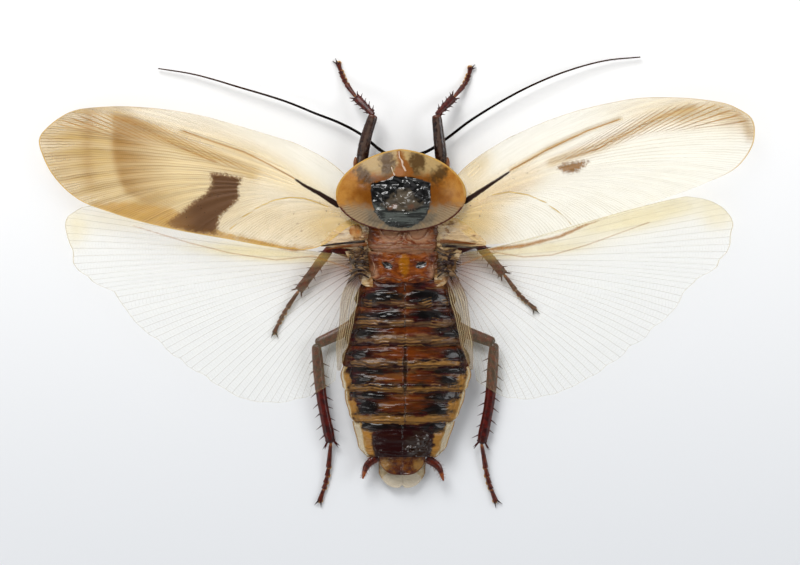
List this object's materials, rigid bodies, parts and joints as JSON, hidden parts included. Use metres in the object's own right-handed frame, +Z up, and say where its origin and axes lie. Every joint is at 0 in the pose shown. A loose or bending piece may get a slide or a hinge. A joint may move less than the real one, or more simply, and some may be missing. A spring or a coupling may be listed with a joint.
{
  "type": "giant cave cockroach specimen",
  "caption": "Dried giant cave cockroach at life size with its wings spread, lying on its belly and feet as a still museum model.",
  "frame": {"origin": "floor level under the middle of the whole animal's box", "axes": "+X towards the animal's right wing, +Y towards its head, +Z up through its back"},
  "size_m": [0.143, 0.091, 0.0106],
  "materials": {
    "shell": "amber horny shield with a dark glossy mark",
    "thorax": "rust brown horny plates, half gloss",
    "abdomen": "dark brown glossy plates with amber bands",
    "amber_plate": "pale amber, thin and translucent",
    "forewing": "cream parchment-like wing, translucent, finely veined",
    "hindwing": "thin clear membrane with grey-brown veins",
    "hinge": "dark brown wrinkled sclerites",
    "head": "dark brown, half gloss",
    "eye": "black glossy compound eye",
    "feeler": "very dark brown, finely ringed",
    "leg": "dark red-brown, half gloss, spined"
  },
  "bodies": {
    "root": {"pronotum": "shell", "prothorax": "thorax", "mesothorax": "thorax", "metathorax": "thorax", "mesonotum": "thorax", "metanotum": "thorax", "tergite_1": "abdomen", "tergite_2": "abdomen", "tergite_3": "abdomen", "tergite_4": "abdomen", "tergite_5": "abdomen", "tergite_6": "abdomen", "tergite_7": "abdomen", "belly": "abdomen", "anal_plate": "amber_plate", "subgenital_plate": "amber_plate", "cercus_left": "leg", "cercus_right": "leg", "tegmen_left": "forewing", "tegmen_right": "forewing", "hindwing_left": "hindwing", "hindwing_right": "hindwing", "hinge_left": "hinge", "hinge_right": "hinge", "tegula_left": "amber_plate", "head": "head", "eye_left": "eye", "eye_right": "eye", "antenna_left_1": "feeler", "antenna_left_2": "feeler", "antenna_left_3": "feeler", "antenna_right_1": "feeler", "antenna_right_2": "feeler", "antenna_right_3": "feeler", "coxa_fore_left": "leg", "femur_fore_left": "leg", "tibia_fore_left": "leg", "tarsus_fore_left": "leg", "coxa_fore_right": "leg", "femur_fore_right": "leg", "tibia_fore_right": "leg", "tarsus_fore_right": "leg", "coxa_mid_left": "leg", "femur_mid_left": "leg", "tibia_mid_left": "leg", "tarsus_mid_left": "leg", "coxa_mid_right": "leg", "femur_mid_right": "leg", "tibia_mid_right": "leg", "tarsus_mid_right": "leg", "coxa_hind_left": "leg", "femur_hind_left": "leg", "tibia_hind_left": "leg", "tarsus_hind_left": "leg", "coxa_hind_right": "leg", "femur_hind_right": "leg", "tibia_hind_right": "leg", "tarsus_hind_right": "leg"}
  },
  "joints": []
}
